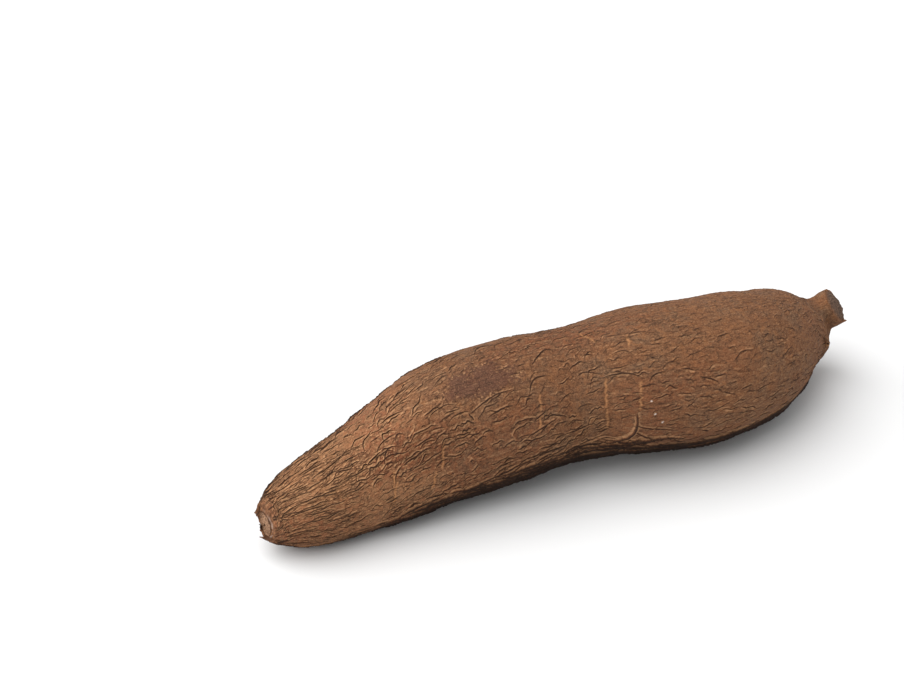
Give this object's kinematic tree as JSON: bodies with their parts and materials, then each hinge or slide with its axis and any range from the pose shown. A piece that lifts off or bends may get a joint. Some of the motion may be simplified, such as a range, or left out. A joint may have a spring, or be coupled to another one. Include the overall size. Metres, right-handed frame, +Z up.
{
  "type": "cassava root",
  "caption": "Whole unpeeled cassava root, a long tuber with two swellings, rough flaking brown bark, a broken tip and a short cut stalk, lying on a flat surface.",
  "frame": {"origin": "middle of the root's bounding box, on the surface it rests on", "axes": "+X from the broken tip to the cut stalk, +Z up from the surface the root lies on"},
  "size_m": [0.3062, 0.0762, 0.0713],
  "materials": {
    "bark": "dull brown bark, rough, with raised flakes, fine cracks and tan broken ends"
  },
  "bodies": {
    "root": {"cassava_root": "bark"}
  },
  "joints": []
}
